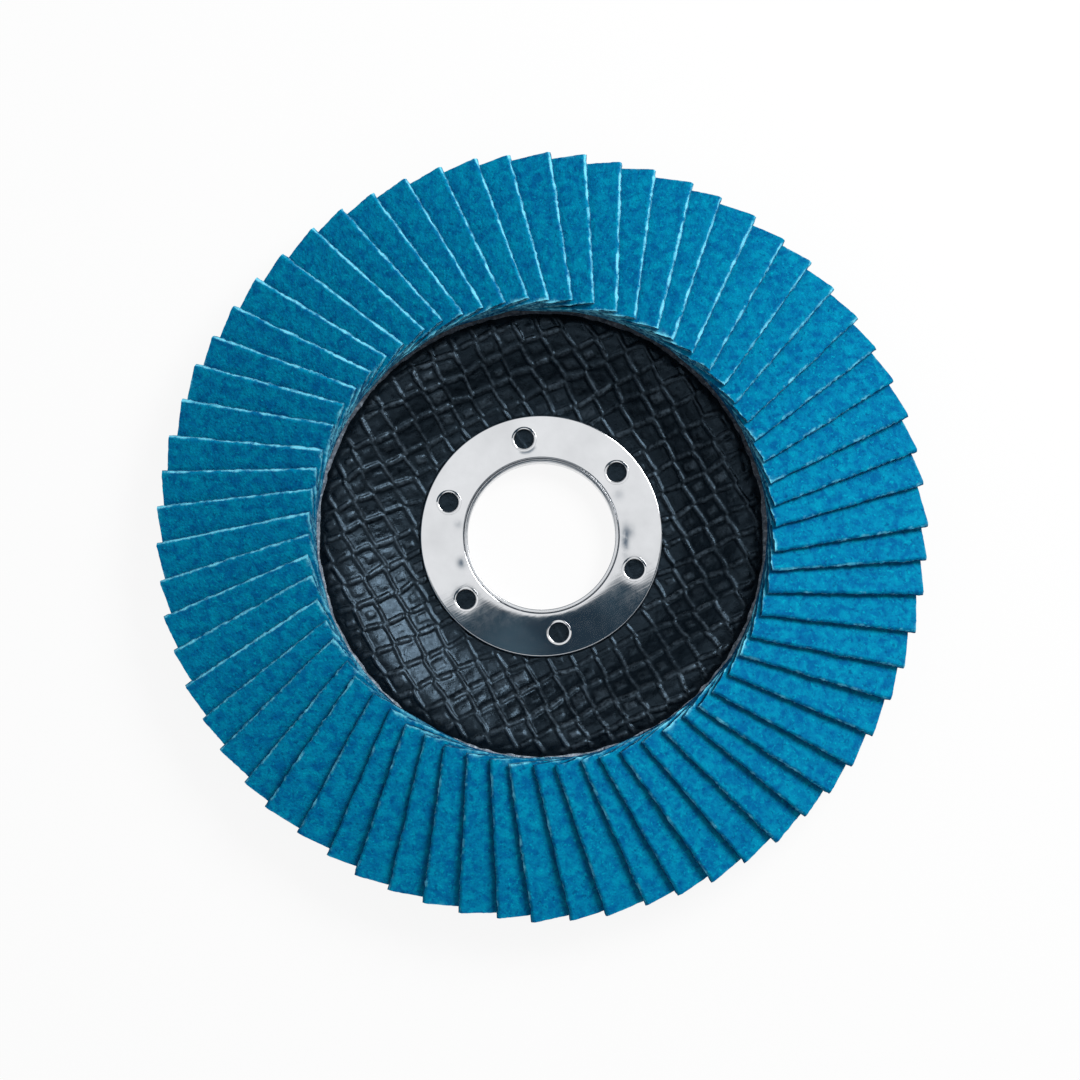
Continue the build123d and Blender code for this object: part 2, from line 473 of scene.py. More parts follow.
# A flap's section runs along its top from the raised edge to the foot, back along its underside,
# and up the cut edge. V is the place across the width, and the steps are finest where it shows.
ARRIS_V = np.array([0.0, 0.09, 0.20, 0.34])
ARRIS_FALL = np.array([0.40, 0.21, 0.07, 0.0])
SHOWN_WIDTH = 7.2
TOP_V = np.concatenate(
    [ARRIS_V, np.linspace(0.5, SHOWN_WIDTH, 26), np.linspace(SHOWN_WIDTH, FLAP_WIDTH, 6)[1:]]
)
UNDER_V = np.array([FLAP_WIDTH, 13.0, 8.0, 4.0, 1.5, 0.3])
CUT_V = np.array([-0.02, -0.05, -0.03])
CUT_HEIGHT = np.array([0.06, 0.18, 0.30])
FLAP_STEPS = 91

# A flap's outer raised corner hangs down. At its inner end the foot lies further out than the
# raised edge. The edges are worn, and made paler by painted light, most on one side of the disc.
OUTER_DROP = 1.3
DROP_CURVE = 1.4
SHEAR = 1.5
SHEAR_SHIFT = 0.22
WORN_AND_LIT_SIDE = math.radians(125)

# How far single flaps stray from their even places: turned, slid across and pushed along
FLAP_SEED = 500
TURN_SPREAD = 0.006
SLIDE_SPREAD = 0.26
SLIDE_LIMIT = 0.5
PUSH_SPREAD = 0.10
PUSH_LIMITS = (-0.2, 0.12)
DROP_SPREAD = 0.12


def flap_frame(index):
    """Foot corner, outward axis, axis up the lean and normal of one flap's underside."""
    turn = -index * FLAP_PITCH
    c, s = math.cos(turn), math.sin(turn)
    rotation = np.array([[c, -s, 0], [s, c, 0], [0, 0, 1]])
    sin_lean, cos_lean = math.sin(LEAN), math.cos(LEAN)
    sin_slope, cos_slope = math.sin(SLOPE), math.cos(SLOPE)
    foot = rotation @ np.array([FOOT_INNER_END, FOOT_OFFSET, FOOT_HEIGHT])
    along = rotation @ np.array([cos_slope, 0, -sin_slope])
    up_lean = rotation @ np.array([sin_lean * sin_slope, -cos_lean, sin_lean * cos_slope])
    normal = rotation @ np.array([sin_slope * cos_lean, sin_lean, cos_slope * cos_lean])
    return foot, along, up_lean, normal


def frayed_flap(shift):
    """Flat flap with its grain and frayed cut edges: place along, across and up, and what is on top."""
    section_v = np.concatenate([TOP_V, UNDER_V, CUT_V])
    section_t = np.concatenate([np.full(len(TOP_V), FLAP_THICK), np.zeros(len(UNDER_V)), CUT_HEIGHT])
    section_t[: len(ARRIS_FALL)] -= ARRIS_FALL
    u, v = np.meshgrid(np.linspace(0, FLAP_LENGTH, FLAP_STEPS), section_v, indexing="ij")
    t = np.broadcast_to(section_t, u.shape).copy()
    upper = np.broadcast_to(np.arange(len(section_v)) < len(TOP_V), u.shape)
    a, b = shift

    grain = 0.6 * value_noise(u + a, v + b, cell=0.34, seed=1)
    grain += 0.4 * value_noise(u + b, v + a, cell=0.9, seed=2)
    t += np.where(upper, 0.05 * grain, 0)
    fray = 0.10 * value_noise(u + a, v * 0 + b, cell=0.55, seed=3)
    fray += 0.06 * value_noise(u + b, v * 0, cell=2.6, seed=4)
    v = v + fray * np.exp(-np.clip(v, 0, None) / 0.45)
    inner_fray = 0.14 * value_noise(v + a, t, cell=0.6, seed=5)
    inner_fray += 0.10 * value_noise(v + b, t, cell=3.0, seed=6)
    outer_fray = np.abs(0.09 * value_noise(v + b, t, cell=0.7, seed=7))
    near_inner, near_outer = np.exp(-u / 0.5), np.exp(-(FLAP_LENGTH - u) / 0.4)
    u = u + near_inner * inner_fray
    u = u - near_outer * outer_fray
    return u, v, t, upper


def flap_wear_and_light(u, v, upper, wear_and_light):
    """How pale the edges are: worn along the raised edge and less so at the two ends, with painted light
    that makes the raised edge and the cut faces paler on one side of the disc.
    """
    marked_edge = wear_and_light * (1 - smooth_step(0.08, 0.27, v))
    marked_edge = np.maximum(marked_edge, 0.7 * np.exp(-u / 0.22))
    marked_edge = np.maximum(marked_edge, 0.35 * np.exp(-(FLAP_LENGTH - u) / 0.15))
    return np.where(upper, marked_edge, wear_and_light)


def build_flap(index):
    """One flap, a little out of line with its neighbours, with its outer corner hanging down."""
    rng = np.random.default_rng(FLAP_SEED + index)
    u, v, t, upper = frayed_flap(rng.uniform(0, 900, 2))
    turn = rng.normal(0, TURN_SPREAD)
    slide = np.clip(rng.normal(0, SLIDE_SPREAD), -SLIDE_LIMIT, SLIDE_LIMIT)
    push = np.clip(rng.normal(0, PUSH_SPREAD), *PUSH_LIMITS)
    drop = OUTER_DROP + rng.uniform(-DROP_SPREAD, DROP_SPREAD)
    fall = drop * np.clip(u / FLAP_LENGTH, 0, None) ** DROP_CURVE * (1 - v / FLAP_WIDTH)
    shear = (SHEAR * v / FLAP_WIDTH - SHEAR_SHIFT) * (1 - u / FLAP_LENGTH)
    placed_u = push + u + shear + turn * v
    placed_v = v + slide - turn * (u - FLAP_LENGTH / 2)
    foot, along, up_lean, normal = flap_frame(index)
    points = (
        foot
        + placed_u[..., None] * along
        + (FLAP_WIDTH - placed_v)[..., None] * up_lean
        + t[..., None] * normal
        - fall[..., None] * np.array([0, 0, 1])
    )
    rows, cols = u.shape
    last_top, last_under = len(TOP_V) - 1, len(TOP_V) + len(UNDER_V) - 1
    column = np.tile(np.arange(cols), rows - 1)
    grain_side, edge_side, back_side = 0, 1, 2
    sides = np.where(column < last_under, back_side, edge_side)
    sides = np.where(column < last_top, grain_side, sides)
    caps = [list(range(cols)), list(range((rows - 1) * cols, rows * cols))]
    piece = make_object(
        f"flap_{index + 1:02d}",
        points.reshape(-1, 3),
        grid_faces(rows, cols, close_rows=False).tolist() + caps,
        [cloth, cut_edge, backing],
        sharp=55.0,
        face_material=np.concatenate([sides, [edge_side, edge_side]]),
    )
    middle_x, middle_y = points[:, 0, 0].mean(), points[:, 0, 1].mean()
    # Painted light: flaps on one side of the disc get paler edges, as lit edges look there; the random share
    # per flap stands for real wear.
    towards = math.cos(math.atan2(middle_y, middle_x) - WORN_AND_LIT_SIDE)
    wear_and_light = (0.30 + 0.70 * float(smooth_step(-0.45, 0.45, towards))) * rng.uniform(0.85, 1.12)
    point_attribute(piece, "edge", flap_wear_and_light(u, v, upper, wear_and_light))
    return piece


flaps = [build_flap(index) for index in range(FLAP_COUNT)]
for index, flap in enumerate(flaps):
    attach(flap, "root")
    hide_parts(f"flap_pair_{index // 2 + 1:02d}")

# ---------------------------------------------------------------- mesh print of the plate

# Each yarn crossing and pocket has its own chances from 0 to 1, one layer for each use.
MESH_USES = ("ridge", "bar", "pad", "pad_p", "pad_q", "pad_size", "bar_reach", "bar_side", "bar_turn")
MESH_CHANCES = np.random.default_rng(25).random((len(MESH_USES), LATTICE, LATTICE))
MESH_SHIFT_P = 0.3
MESH_SHIFT_Q = -1.7
FLOOD_LEVEL = 0.20


def mesh_chance(use, i, j):
    """Chances for one use at whole-numbered places of the mesh."""
    return MESH_CHANCES[MESH_USES.index(use)][i % LATTICE, j % LATTICE]


def mesh_coords(x, y):
    """Places across the ridges (p) and across the bars (q), which waver as the yarns do."""
    waver_p = 0.38 * value_noise(x + 200, y + 200, cell=7.0, seed=21)
    waver_p += 0.17 * value_noise(x + 90, y, cell=1.9, seed=22)
    waver_q = 0.38 * value_noise(x + 400, y + 100, cell=7.0, seed=23)
    waver_q += 0.20 * value_noise(x, y + 70, cell=1.9, seed=24)
    c, s = math.cos(MESH_ANGLE), math.sin(MESH_ANGLE)
    return c * x + s * y + waver_p + MESH_SHIFT_P, -s * x + c * y + waver_q + MESH_SHIFT_Q


def bar_strands(p, q):
    """Fine strands that run along p."""
    return value_noise(p * 0.2, q + 500, cell=0.24, seed=27)


def mesh_ridges(p, q):
    """Narrow yarns that stand up along q: their cover, height and paleness."""
    column, row = np.round(p / WARP_PITCH).astype(int), np.round(q / WEFT_PITCH).astype(int)
    cell_q = np.floor(q / WEFT_PITCH).astype(int)
    luck = mesh_chance("ridge", column, cell_q)
    slant = 0.42 * (q / WEFT_PITCH - cell_q - 0.5)
    cover = 1 - smooth_step(0.08, 0.33, np.abs(p + slant - column * WARP_PITCH))
    over_under = np.cos(math.pi * (column + row)) * np.cos(math.pi * q / WEFT_PITCH) ** 2
    strands = value_noise(p + 500, q * 0.2, cell=0.24, seed=26)
    lift = 0.34 + 0.16 * luck + 0.04 * over_under + 0.03 * strands
    return cover, lift, 0.25 + 0.75 * luck


def mesh_bars(p, q):
    """Broader yarns along p, which come through as short, slightly turned bars."""
    cell_p, row = np.floor(p / WARP_PITCH).astype(int), np.round(q / WEFT_PITCH).astype(int)
    luck = mesh_chance("bar", cell_p, row)
    reach = 1.35 - 0.6 * mesh_chance("bar_reach", cell_p, row)
    side = 0.5 * (mesh_chance("bar_side", cell_p, row) - 0.5)
    turn = 0.3 * (mesh_chance("bar_turn", cell_p, row) - 0.5)
    across = p - (cell_p + 0.5) * WARP_PITCH
    off = np.abs(q - row * WEFT_PITCH + 0.4 * (luck - 0.5) + turn * across)
    block = 1 - smooth_step(reach - 0.12, reach + 0.12, np.abs(across - side))
    cover = (1 - smooth_step(0.24, 0.48, off)) * (0.35 + 0.65 * block)
    lift = 0.28 + 0.18 * luck + 0.03 * bar_strands(p, q)
    return cover, lift, 0.20 + 0.80 * luck**1.3


def mesh_pads(p, q):
    """Domed pads of resin in the pockets between the yarns, paler at random, and paler at their tops as
    painted highlight.
    """
    cell_p, cell_q = np.floor(p / WARP_PITCH).astype(int), np.floor(q / WEFT_PITCH).astype(int)
    luck = mesh_chance("pad", cell_p, cell_q)
    size = 0.75 + 0.6 * mesh_chance("pad_size", cell_p, cell_q)
    shift_p = 0.7 * (mesh_chance("pad_p", cell_p, cell_q) - 0.5)
    shift_q = 0.6 * (mesh_chance("pad_q", cell_p, cell_q) - 0.5)
    off_p = np.abs(p - (cell_p + 0.5) * WARP_PITCH - shift_p) / size
    off_q = np.abs(q - (cell_q + 0.5) * WEFT_PITCH - shift_q) / size
    cover = (1 - smooth_step(0.62, 0.90, off_p)) * (1 - smooth_step(0.44, 0.70, off_q))
    dome = 1 - 0.25 * (off_p / 0.9) ** 2 - 0.25 * (off_q / 0.6) ** 2
    lift = dome * (0.04 + 0.26 * luck**1.5) + 0.02 * bar_strands(p, q)
    # Tone: random paleness, brightest at the dome's top as a painted highlight.
    return cover, lift, np.clip(dome, 0, 1) * 0.9 * luck**2.5


def mesh_print(x, y):
    """Height of the mesh print and how pale it is, at places on the plate.

    Resin has flooded some of it, more so near the ring, and nearly all of it under the ring.
    """
    p, q = mesh_coords(x, y)
    height, pale = np.zeros_like(x), np.zeros_like(x)
    for form in (mesh_ridges, mesh_bars, mesh_pads):
        cover, lift, tone = form(p, q)
        height = np.maximum(height, cover * lift)
        pale = np.maximum(pale, cover * tone)
    height += 0.05 * value_noise(x + 10, y + 10, cell=1.3, seed=28)
    height += 0.025 * value_noise(x, y, cell=0.5, seed=29)
    radius = np.hypot(x, y)
    flood = 0.5 + 0.5 * value_noise(x + 333, y + 77, cell=9.0, seed=30)
    near_ring = 1 - smooth_step(19.5, 24.5, radius)
    clear = 1 - (0.35 + 0.35 * near_ring) * flood
    clear *= 0.15 + 0.85 * smooth_step(17.0, 18.4, radius)
    return FLOOD_LEVEL + (height - FLOOD_LEVEL) * clear, pale * clear


# ---------------------------------------------------------------- plate

# Radii at which the skin starts and is finely divided, and between which the print comes and goes
SKIN_INNER = 12.3
FINE_INNER = 17.7
FINE_OUTER = 33.4
HOLES_FADE_OUT = (17.0, 17.8)
PRINT_FADE_IN = (18.1, 18.6)
PRINT_FADE_OUT = (32.0, 32.75)
RING_SEAT = 18.4
RIM_START = 52.6
RIM_CURVE = 1.2

# How far the print is let into the skin, and how far the skin sinks where it is hidden
PRINT_DEPTH = 0.40
HIDDEN_SINK = 0.35

# The rear face has another stretch of the same print, with its low parts standing proud
REAR_SHIFT_X = 1.1
REAR_SHIFT_Y = -0.7
REAR_PRINT = 0.26
REAR_LEVEL = 0.5
REAR_LOWEST = 0.02
REAR_FADE_IN = (18.6, 19.4)
REAR_FADE_OUT = (51.6, RIM_START)

# Hidden faces inside the plate: the front skin's lies above the rear face, clear of the rear ring
UNDER_LIFT = 0.42
UNDER_LOWEST = 0.62
REAR_SKIN = 0.5


def eased_profile(floor, dish, flange, ease):
    """Height of a face whose floor, rising dish and falling flange meet at eased corners."""
    rise = ease * np.logaddexp(floor / ease, dish / ease)
    return -ease * np.logaddexp(-rise / ease, -flange / ease)


def front_profile(radius):
    """Height of the plate's front face."""
    dish = HUB_TOP + (radius - HUB_FLAT) * math.tan(DISH_ANGLE)
    return eased_profile(HUB_TOP, dish, flange_height(radius), ease=0.45)


def rear_profile(radius):
    """Height of the plate's rear face."""
    knee = HUB_FLAT + WALL / math.sin(DISH_ANGLE) - HUB_TOP / math.tan(DISH_ANGLE)
    dish = (radius - knee) * math.tan(DISH_ANGLE)
    flange = flange_height(radius) - WALL / math.cos(SLOPE)
    return eased_profile(0, dish, flange, ease=0.35)


def build_plate_front():
    """Front skin with the mesh print, the rim and a plain under-face behind it."""
    segments, coarse_step, fine_step = 780, 0.42, 0.205
    radii = np.concatenate(
        [
            np.arange(SKIN_INNER, FINE_INNER, coarse_step),
            np.arange(FINE_INNER, FINE_OUTER, fine_step),
            np.linspace(33.6, 52.5, 12),
            [52.8, 52.95, PLATE_RADIUS],
        ]
    )
    r, a = circle_grid(radii, segments)
    x, y = r * np.cos(a), r * np.sin(a)
    height, pale = mesh_print(x, y)
    in_dish = smooth_step(*PRINT_FADE_IN, r) * (1 - smooth_step(*PRINT_FADE_OUT, r))
    shown = np.maximum(in_dish, 1 - smooth_step(*HOLES_FADE_OUT, r))
    z = front_profile(r) + shown * (height - PRINT_DEPTH) - HIDDEN_SINK * (1 - shown)
    z = np.where(r < RING_SEAT, np.minimum(z, HUB_TOP - FIT_GAP), z)
    z = np.where(r > RIM_START, z - RIM_CURVE * (r - RIM_START) ** 2, z)
    under_r = np.array([PLATE_RADIUS, 52.8, 42.0, 33.0, 30.5, 28.5, 24.0, 20.0, 17.5, SKIN_INNER])
    under_z = np.maximum(UNDER_LOWEST, rear_profile(under_r) + UNDER_LIFT)
    points = np.concatenate([np.stack([x, y, z], -1), turned(under_r, under_z, segments)])
    piece = make_ring("plate_front", points, plate_skin, 80.0)
    plain = np.zeros((len(under_r), segments))
    point_attribute(piece, "ridge", np.concatenate([pale * shown, plain]))
    return piece


def build_plate_rear():
    """Rear skin with a fainter print, from the rear ring's seat to the rim."""
    segments = 500
    radii = np.concatenate([[RING_RADIUS + 0.05], np.linspace(18.5, RIM_START, 74), [52.85, PLATE_RADIUS]])
    r, a = circle_grid(radii, segments)
    x, y = r * np.cos(a), r * np.sin(a)
    height, pale = mesh_print(x + REAR_SHIFT_X, y + REAR_SHIFT_Y)
    printed = smooth_step(*REAR_FADE_IN, r) * (1 - smooth_step(*REAR_FADE_OUT, r))
    z = rear_profile(r) + REAR_PRINT * (1 - height / REAR_LEVEL) * printed
    z = np.clip(z, REAR_LOWEST, None)
    z = np.where(r > RIM_START, z + RIM_CURVE * (r - RIM_START) ** 2, z)
    rows_behind = [-1, 62, 40, 28, 24, 18, 8, 0]
    hidden = np.stack([x, y, rear_profile(r) + REAR_SKIN], -1)[rows_behind]
    points = np.concatenate([np.stack([x, y, z], -1), hidden])
    piece = make_ring("plate_rear", points, plate_skin, 80.0)
    plain = np.zeros((len(rows_behind), segments))
    point_attribute(piece, "ridge", np.concatenate([pale * printed, plain]))
    return piece


for piece in (build_plate_front(), build_plate_rear()):
    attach(piece, "root")
    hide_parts("backing_plate")

# ---------------------------------------------------------------- rings

# The front ring's face lies a little below the CAD's and falls outward past a radius
FACE_SINK = 0.03
CAMBER = 0.02
CAMBER_START = 11.9
CAMBER_EASE = 0.7
EDGE_ROLL = 0.2
RING_SHARP = 50.0

# Dark patches on the front ring's face: centre, half width, half height and strength of each
DARK_PATCHES = (
    (-12.0, -4.1, 0.65, 0.75, 0.9),
    (12.6, -0.7, 0.5, 1.9, 1.0),
    (13.3, 0.6, 0.7, 0.9, 0.5),
    (-12.5, 1.7, 0.6, 0.6, 0.35),
    (11.6, 6.2, 0.8, 0.8, 0.3),
)

# Dark arc beside one pierced hole, in millimetres from its centre and degrees round it
ARC_HOLE = 1
ARC_RADIUS = 2.05
ARC_WIDTH = 0.19
ARC_START = (-115, -95)
ARC_END = (-50, -25)


def hole_centres():
    """Centres of the pierced holes."""
    turns = HOLE_START + np.arange(HOLE_COUNT) * 2 * math.pi / HOLE_COUNT
    return [(HOLE_CIRCLE * math.cos(t), HOLE_CIRCLE * math.sin(t)) for t in turns]


def ring_surface(x, y):
    """Height of the front ring's face: it falls very slightly outward and towards its holes."""
    beyond = np.clip(np.hypot(x, y) - CAMBER_START, 0, None)
    z = RING_TOP - FACE_SINK - CAMBER * (beyond - CAMBER_EASE * (1 - np.exp(-beyond / CAMBER_EASE)))
    z += 0.0030 * value_noise(x + 40, y + 40, cell=5.5, seed=31)
    z += 0.0007 * value_noise(x + 80, y + 20, cell=2.2, seed=32)
    for cx, cy in hole_centres():
        past_rim = np.hypot(x - cx, y - cy) - HOLE_RADIUS
        z -= 0.0035 * np.exp(-((past_rim / 0.6) ** 2))
    return z


def dark_patch_amount(x, y):
    """How dark the patches and the arc make the front ring's face at a place."""
    amount = np.zeros_like(x)
    for cx, cy, wide, high, strength in DARK_PATCHES:
        amount += strength * np.exp(-(((x - cx) / wide) ** 2) - ((y - cy) / high) ** 2)
    cx, cy = hole_centres()[ARC_HOLE]
    turn = np.degrees(np.arctan2(y - cy, x - cx))
    arc = np.exp(-(((np.hypot(x - cx, y - cy) - ARC_RADIUS) / ARC_WIDTH) ** 2))
    return amount + 0.9 * arc * smooth_step(*ARC_START, turn) * (1 - smooth_step(*ARC_END, turn))


def build_bead(number, cx, cy):
    """Shallow bright cone pressed round one pierced hole."""
    out = np.array([0.38, 0.36, 0.22, 0.08, 0.02, 0.0, 0.0, 0.38])
    up = np.array([-0.02, 0.008, -0.018, -0.045, -0.065, -0.10, -0.25, -0.25])
    points = turned(HOLE_RADIUS + out, RING_TOP + up, 72) + np.array([cx, cy, 0])
    return make_ring(f"hole_bead_{number}", points, ring_steel, 60.0)


def pierce(piece):
    """Cuts the pierced holes out of the front ring."""
    cutters = bpy.data.meshes.new("hole_cutters")
    tool = bmesh.new()
    radius = HOLE_RADIUS * MM
    for cx, cy in hole_centres():
        made = bmesh.ops.create_cone(
            tool, cap_ends=True, segments=72, radius1=radius, radius2=radius, depth=4 * MM
        )
        bmesh.ops.translate(tool, verts=made["verts"], vec=Vector((cx, cy, RING_TOP)) * MM)
    tool.to_mesh(cutters)
    tool.free()
    cutter = bpy.data.objects.new("hole_cutters", cutters)
    bpy.context.scene.collection.objects.link(cutter)
    cut = piece.modifiers.new("holes", "BOOLEAN")
    cut.operation = "DIFFERENCE"
    cut.solver = "EXACT"
    cut.object = cutter
    depsgraph = bpy.context.evaluated_depsgraph_get()
    pierced = bpy.data.meshes.new_from_object(piece.evaluated_get(depsgraph))
    piece.modifiers.clear()
    piece.data = pierced
    bpy.data.objects.remove(cutter)
    shade_smooth(pierced, RING_SHARP)


def build_front_ring():
    """Flat pressed ring with a rolled rim, a rolled lip, a short neck and six pierced holes."""
    segments = 480
    face_r = np.concatenate(
        [np.linspace(NECK_RADIUS + EDGE_ROLL, 12.4, 5), np.arange(12.6, 17.9, 0.17), [17.98]]
    )
    face = turned(face_r, np.zeros(len(face_r)), segments)
    face[..., 2] = ring_surface(face[..., 0], face[..., 1])
    rim_turn = np.radians([20, 42, 64, 90])
    rim_start = RING_RADIUS - EDGE_ROLL
    rim_fall = CAMBER * (rim_start - CAMBER_START - CAMBER_EASE) + FACE_SINK
    rim_r = rim_start + EDGE_ROLL * np.sin(rim_turn)
    rim_z = RING_TOP - rim_fall - EDGE_ROLL * (1 - np.cos(rim_turn))
    lip_turn = np.radians([90, 66, 42, 20])
    lip_r = NECK_RADIUS + EDGE_ROLL * (1 - np.sin(lip_turn))
    lip_z = face[0, :, 2].mean() - EDGE_ROLL * (1 - np.cos(lip_turn))
    neck_outer, neck_bottom = NECK_RADIUS + RING_SHEET, HUB_TOP - NECK_DEPTH
    under_r = [RING_RADIUS, RING_RADIUS - 0.1, neck_outer, neck_outer, NECK_RADIUS]
    under_z = [HUB_TOP + 0.08, HUB_TOP, HUB_TOP, neck_bottom, neck_bottom]
    sections = [turned(under_r, under_z, segments), turned(lip_r, lip_z, segments)]
    sections += [face, turned(rim_r, rim_z, segments)]
    piece = make_ring("ring_front", np.concatenate(sections), ring_steel, RING_SHARP)
    pierce(piece)
    place = np.empty(len(piece.data.vertices) * 3)
    piece.data.vertices.foreach_get("co", place)
    x, y, z = place.reshape(-1, 3).T / MM
    # Dark patches, held only on the face.
    point_attribute(piece, "dark_patch", np.where(z > RING_TOP - 0.2, dark_patch_amount(x, y), 0))
    for number, (cx, cy) in enumerate(hole_centres(), start=1):
        build_bead(number, cx, cy).parent = piece
    return piece


def build_rear_ring():
    """Flat rear ring whose collar comes up through the bore and ends just below the lip."""
    section = [
        (COLLAR_RADIUS, COLLAR_TOP - 0.08),
        (COLLAR_RADIUS - 0.06, COLLAR_TOP),
        (BORE_RADIUS + 0.10, COLLAR_TOP),
        (BORE_RADIUS + 0.03, COLLAR_TOP - 0.04),
        (BORE_RADIUS, COLLAR_TOP - 0.14),
        (BORE_RADIUS, 2.2),
        (BORE_RADIUS + 0.03, 2.0),
        (BORE_RADIUS, 1.8),
        (BORE_RADIUS, 0.42),
        (BORE_RADIUS + 0.05, 0.2),
        (BORE_RADIUS + 0.17, 0.06),
        (BORE_RADIUS + 0.36, 0.0),
        (13.5, 0.0),
        (15.5, 0.01),
        (RING_RADIUS - 0.2, 0.0),
        (RING_RADIUS - 0.06, 0.05),
        (RING_RADIUS, 0.18),
        (RING_RADIUS, RING_SHEET),
        (COLLAR_RADIUS + 0.2, RING_SHEET),
        (COLLAR_RADIUS, RING_SHEET + 0.2),
    ]
    radii, heights = np.array(section).T
    return make_ring("ring_rear", turned(radii, heights, 240), collar_steel, RING_SHARP)


front_ring = build_front_ring()
rear_ring = build_rear_ring()
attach(front_ring, "root")
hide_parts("front_ring")
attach(rear_ring, "root")
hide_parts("rear_ring")

# ---------------------------------------------------------------- adhesive bed

# Radius of the resin's inner edge, how far out it has swelled up, and its least thickness
LIP_INNER = 33.05
LIP_SWELL = 0.6
LEAST_RESIN = 0.22

# The resin stays below the flaps, also a little way inside their inner ends and past their feet.
FLAP_CLEARANCE = 0.05
INNER_MARGIN = 3.5
FOOT_MARGIN = 0.2
UNCOVERED = 99.0


def flap_underside(x, y):
    """Height of the lowest flap underside over a place, very high where no flap covers it."""
    lowest = np.full_like(x, UNCOVERED)
    for index in range(FLAP_COUNT):
        foot, along, up_lean, normal = flap_frame(index)
        height = foot[2] - (normal[0] * (x - foot[0]) + normal[1] * (y - foot[1])) / normal[2]
        offset = np.stack([x - foot[0], y - foot[1], height - foot[2]], -1)
        u, w = offset @ along, offset @ up_lean
        covered = (u > -INNER_MARGIN) & (u < FLAP_LENGTH) & (w > -FOOT_MARGIN) & (w < FLAP_WIDTH)
        lowest = np.where(covered, np.minimum(lowest, height), lowest)
    return lowest


def build_bed():
    """Resin between the flange and the flaps' feet, with a lumpy squeezed-out bead inside."""
    segments = 1320
    lip = LIP_INNER + np.array([0, 0.06, 0.18, 0.35, LIP_SWELL])
    r, a = circle_grid(np.concatenate([lip, [34.0, 34.5, 35.0], np.linspace(36.0, BED_OUTER, 12)]), segments)
    x, y = r * np.cos(a), r * np.sin(a)
    flange = flange_height(r)
    lump = 0.5 + 0.5 * value_noise(x + 60, y + 60, cell=1.6, seed=41)
    top = np.minimum(flap_underside(x, y) - FLAP_CLEARANCE, flange + BED_HEIGHT * (0.75 + 0.25 * lump))
    top = np.maximum(top, flange + LEAST_RESIN)
    ooze = (1 - smooth_step(33.2, 34.2, r)) * 0.18 * value_noise(x + 20, y + 90, cell=1.1, seed=42)
    x, y = x * (1 - ooze / r), y * (1 - ooze / r)
    swell = np.clip((r - LIP_INNER) / LIP_SWELL, 0, 1) ** 0.5
    top = flange - 0.1 + swell * (top - flange + 0.1)
    ends = [-1, 0]
    bottom = np.stack([x[ends], y[ends], flange[ends] - 0.15], -1)
    return make_ring("adhesive", np.concatenate([np.stack([x, y, top], -1), bottom]), resin, 60.0)


bed = build_bed()
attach(bed, "root")
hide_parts("adhesive_bed")

# ---------------------------------------------------------------- stage, light, camera

WHITE = (1, 1, 1, 1)
FLOOR_HALF_SIDE = 2000.0
FLOOR_DROP = 0.01

# View: its tilt from straight down, its distance, and its scale and shift in the picture's pixels
VIEW_TILT = math.radians(4.4)
VIEW_DISTANCE = 400.0
PICTURE_WIDTH = 1080
PIXELS_PER_MM = 6.66
SHIFT_X = -1.44
SHIFT_Y = -4.47


def build_floor():
    """White floor that glows to the camera and to mirrors, and keeps a faint shadow of the disc."""
    material = bpy.data.materials.new("studio_floor")
    material.use_nodes = True
    tree = material.node_tree
    tree.nodes.clear()
    output = tree.nodes.new("ShaderNodeOutputMaterial")
    diffuse = tree.nodes.new("ShaderNodeBsdfDiffuse")
    diffuse.inputs["Color"].default_value = (0.86, 0.86, 0.86, 1)
    glow = tree.nodes.new("ShaderNodeEmission")
    glow.inputs["Color"].default_value = WHITE
    glow.inputs["Strength"].default_value = 1.0
    path = tree.nodes.new("ShaderNodeLightPath")
    seen = combine(tree, "MAXIMUM", path.outputs["Is Camera Ray"], path.outputs["Is Glossy Ray"])
    seen = combine(tree, "MAXIMUM", seen, path.outputs["Is Transmission Ray"])
    mix = tree.nodes.new("ShaderNodeMixShader")
    tree.links.new(times(tree, seen, 0.9), mix.inputs["Fac"])
    tree.links.new(diffuse.outputs["BSDF"], mix.inputs[1])
    tree.links.new(glow.outputs["Emission"], mix.inputs[2])
    tree.links.new(mix.outputs["Shader"], output.inputs["Surface"])
    half = FLOOR_HALF_SIDE
    corners = [(-half, -half, 0), (half, -half, 0), (half, half, 0), (-half, half, 0)]
    floor = make_object("studio_floor", corners, [(0, 1, 2, 3)], [material], sharp=40.0)
    floor.location.z = -FLOOR_DROP * MM


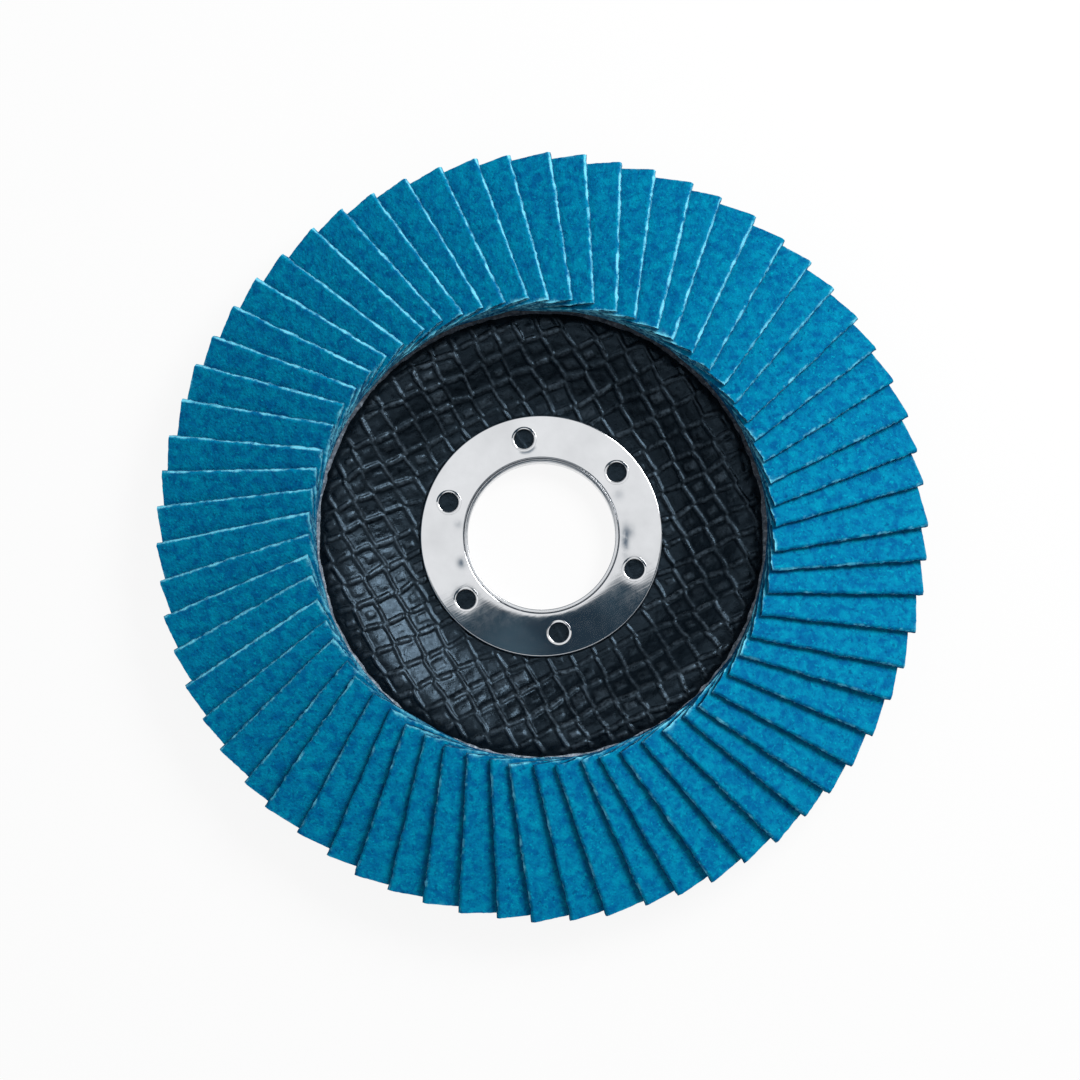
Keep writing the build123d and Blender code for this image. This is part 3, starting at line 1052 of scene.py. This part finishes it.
def build_world():
    """White to the camera, soft grey light on the object, and a darker room for metal to mirror.

    The room is bright overhead and dark around, lighter towards +Y. On its -Y side hangs a dusky
    cloudy panel with a slanted top edge, which the polished ring shows as its dark lower part.
    """
    world = bpy.data.worlds.new("studio")
    bpy.context.scene.world = world
    world.use_nodes = True
    tree = world.node_tree
    tree.nodes.clear()
    output = tree.nodes.new("ShaderNodeOutputWorld")
    path = tree.nodes.new("ShaderNodeLightPath")
    x, y, z = split_axes(tree, tree.nodes.new("ShaderNodeTexCoord").outputs["Generated"])

    slanted = combine(tree, "SUBTRACT", y, times(tree, x, 0.146))
    panel = times(tree, remap(tree, slanted, 0.0405, 0.0325), remap(tree, y, -0.31, -0.25))
    panel = times(tree, panel, remap(tree, combine(tree, "ABSOLUTE", x, 0), 0.4, 0.34))
    panel = times(tree, panel, remap(tree, z, 0.0, 0.1))
    clouds = tree.nodes.new("ShaderNodeTexNoise")
    clouds.inputs["Scale"].default_value = 22.0
    haze = remap(tree, clouds.outputs["Fac"], 0.45, 0.70)
    dusk = blend_colour(tree, haze, (0.020, 0.038, 0.058, 1), (0.060, 0.105, 0.140, 1))

    towards_y = remap(tree, y, -0.5, 0.0)
    around = blend_colour(tree, towards_y, (0.028, 0.038, 0.052, 1), (0.085, 0.105, 0.130, 1))
    room = blend_colour(tree, remap(tree, z, 0.75, 0.89), around, (0.93, 0.94, 0.95, 1))
    room = blend_colour(tree, panel, room, dusk)
    fill = blend_colour(tree, path.outputs["Is Glossy Ray"], (0.42, 0.425, 0.43, 1), room)
    seen = combine(tree, "MAXIMUM", path.outputs["Is Camera Ray"], path.outputs["Is Transmission Ray"])
    background = tree.nodes.new("ShaderNodeBackground")
    tree.links.new(blend_colour(tree, seen, fill, WHITE), background.inputs["Color"])
    tree.links.new(background.outputs["Background"], output.inputs["Surface"])


def aim(thing, back):
    """Turns a lamp or camera so that it looks against a direction."""
    thing.rotation_mode = "QUATERNION"
    thing.rotation_quaternion = (-back).to_track_quat("-Z", "Y")
    bpy.context.scene.collection.objects.link(thing)


def add_softbox(name, azimuth, elevation, distance, size, power):
    """Square lamp aimed at the disc, in degrees, metres and watts; azimuth is anticlockwise from +X."""
    light = bpy.data.lights.new(name, "AREA")
    light.shape = "SQUARE"
    light.size = size
    light.energy = power
    lamp = bpy.data.objects.new(name, light)
    a, e = math.radians(azimuth), math.radians(elevation)
    back = Vector((math.cos(a) * math.cos(e), math.sin(a) * math.cos(e), math.sin(e)))
    lamp.location = back * distance
    aim(lamp, back)


def build_camera():
    """Camera that looks nearly straight down, tipped towards -Y."""
    data = bpy.data.cameras.new("camera")
    data.sensor_width = 36.0
    data.lens = PIXELS_PER_MM * data.sensor_width * VIEW_DISTANCE / PICTURE_WIDTH
    data.clip_start, data.clip_end = 0.01, 10.0
    camera = bpy.data.objects.new("camera", data)
    back = Vector((0, -math.sin(VIEW_TILT), math.cos(VIEW_TILT)))
    target = Vector((SHIFT_X / PIXELS_PER_MM, SHIFT_Y / PIXELS_PER_MM, RING_TOP))
    camera.location = (target + back * VIEW_DISTANCE) * MM
    aim(camera, back)
    bpy.context.scene.camera = camera


build_floor()
build_world()
add_softbox("key_softbox", azimuth=40, elevation=42, distance=0.5, size=0.24, power=2.3)
build_camera()
bpy.context.scene.view_settings.view_transform = "Standard"
